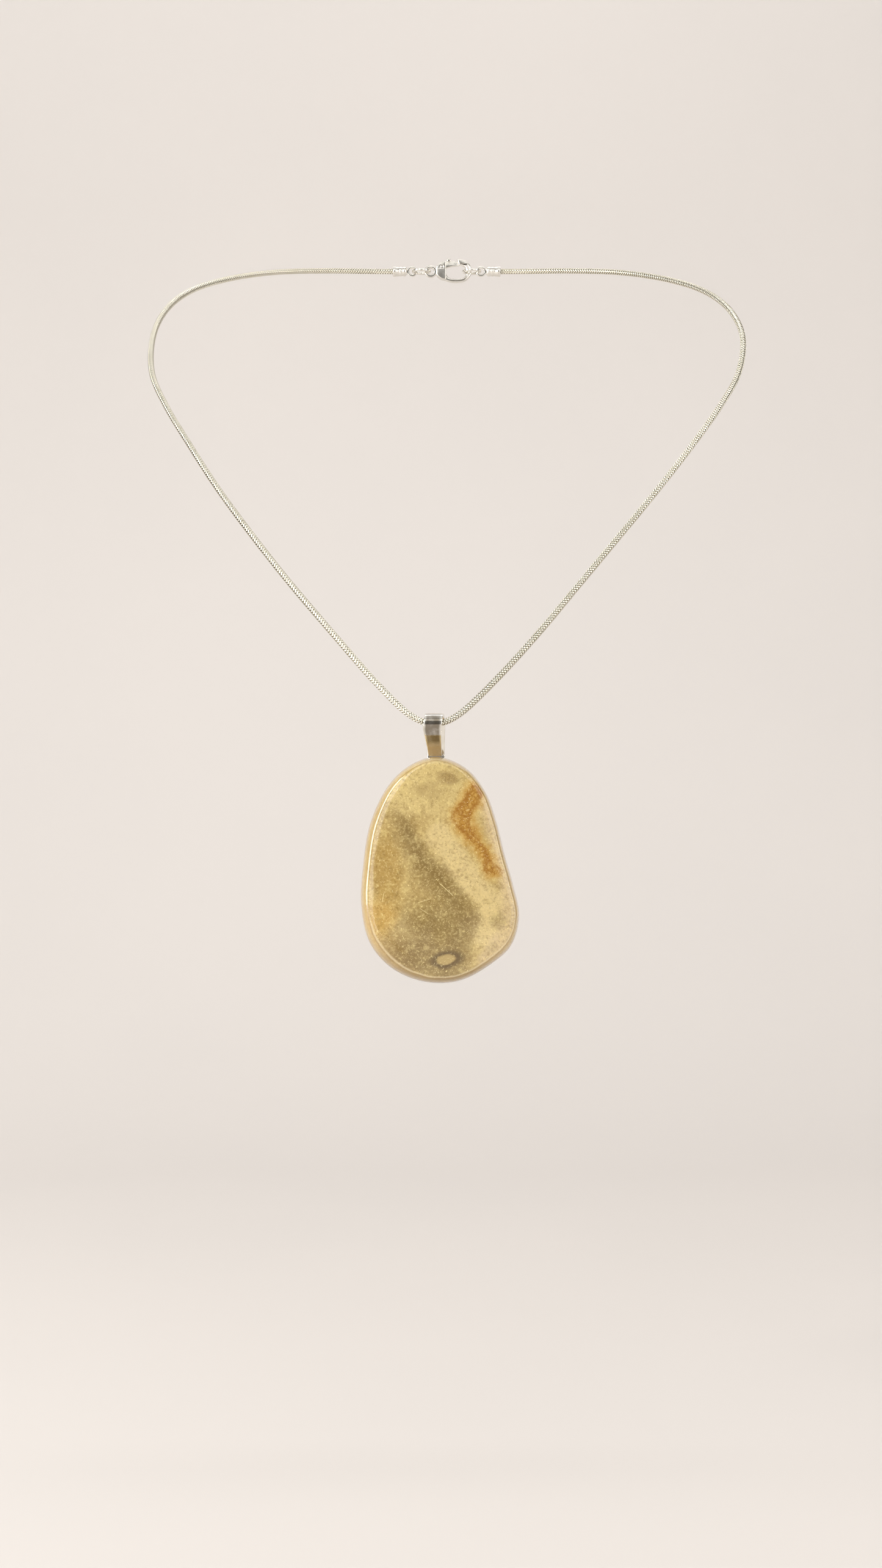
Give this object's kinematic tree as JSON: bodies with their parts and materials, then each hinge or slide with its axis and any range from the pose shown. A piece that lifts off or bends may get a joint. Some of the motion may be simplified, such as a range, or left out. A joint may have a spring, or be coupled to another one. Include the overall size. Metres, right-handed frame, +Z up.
{
  "type": "pendant necklace",
  "caption": "Freeform polished stone pendant hung by a folded strap bail on a round snake chain closed by a lobster clasp.",
  "frame": {"origin": "middle of the wearer's neck, 17 mm above the level where the chain crosses the shoulders", "axes": "+Z up along the neck, -Y the way the wearer faces, +X to the right as the front is seen"},
  "size_m": [0.1386, 0.1017, 0.1767],
  "materials": {
    "stone": "high polish, translucent with rusty veins",
    "adhesive": "clear set glue",
    "bail_metal": "polished silver plate",
    "chain_metal": "polished silver plate, fine scales",
    "findings_metal": "polished silver plate",
    "clasp_metal": "cast and polished silver plate",
    "steel": "plain steel"
  },
  "bodies": {
    "chain": {"snake_chain": "chain_metal", "left_end_cap": "findings_metal", "right_end_cap": "findings_metal"},
    "pendant": {"bail": "bail_metal", "adhesive_film": "adhesive", "stone": "stone"},
    "left_ring": {"left_jump_ring": "findings_metal"},
    "clasp": {"clasp_body": "clasp_metal", "clasp_pivot_pin": "steel", "clasp_spring": "steel"},
    "lever": {"clasp_lever": "clasp_metal"},
    "right_ring": {"right_jump_ring": "findings_metal"}
  },
  "joints": [
    {"name": "pendant_swing", "type": "hinge", "parent": "chain", "child": "pendant", "pos_m": [-0.0029, -0.052, -0.108], "axis": [-1, 0, 0], "range_deg": [-90, 90]},
    {"name": "left_ring_swing", "type": "hinge", "parent": "chain", "child": "left_ring", "pos_m": [-0.00853, 0.0436, 0.01], "axis": [0, -1, 0], "range_deg": [0, 3]},
    {"name": "clasp_swing", "type": "hinge", "parent": "left_ring", "child": "clasp", "pos_m": [-0.00433, 0.0436, 0.01], "axis": [0, -1, 0], "range_deg": [0, 2]},
    {"name": "clasp_lever_turn", "type": "hinge", "parent": "clasp", "child": "lever", "pos_m": [-0.00115, 0.0436, 0.011], "axis": [0, 1, 0], "range_deg": [0, 30], "stiffness_Nm_per_rad": 0.004, "springref_deg": -28.65},
    {"name": "right_ring_swing", "type": "hinge", "parent": "chain", "child": "right_ring", "pos_m": [0.00853, 0.0436, 0.01], "axis": [0, 1, 0], "range_deg": [0, 4]}
  ]
}
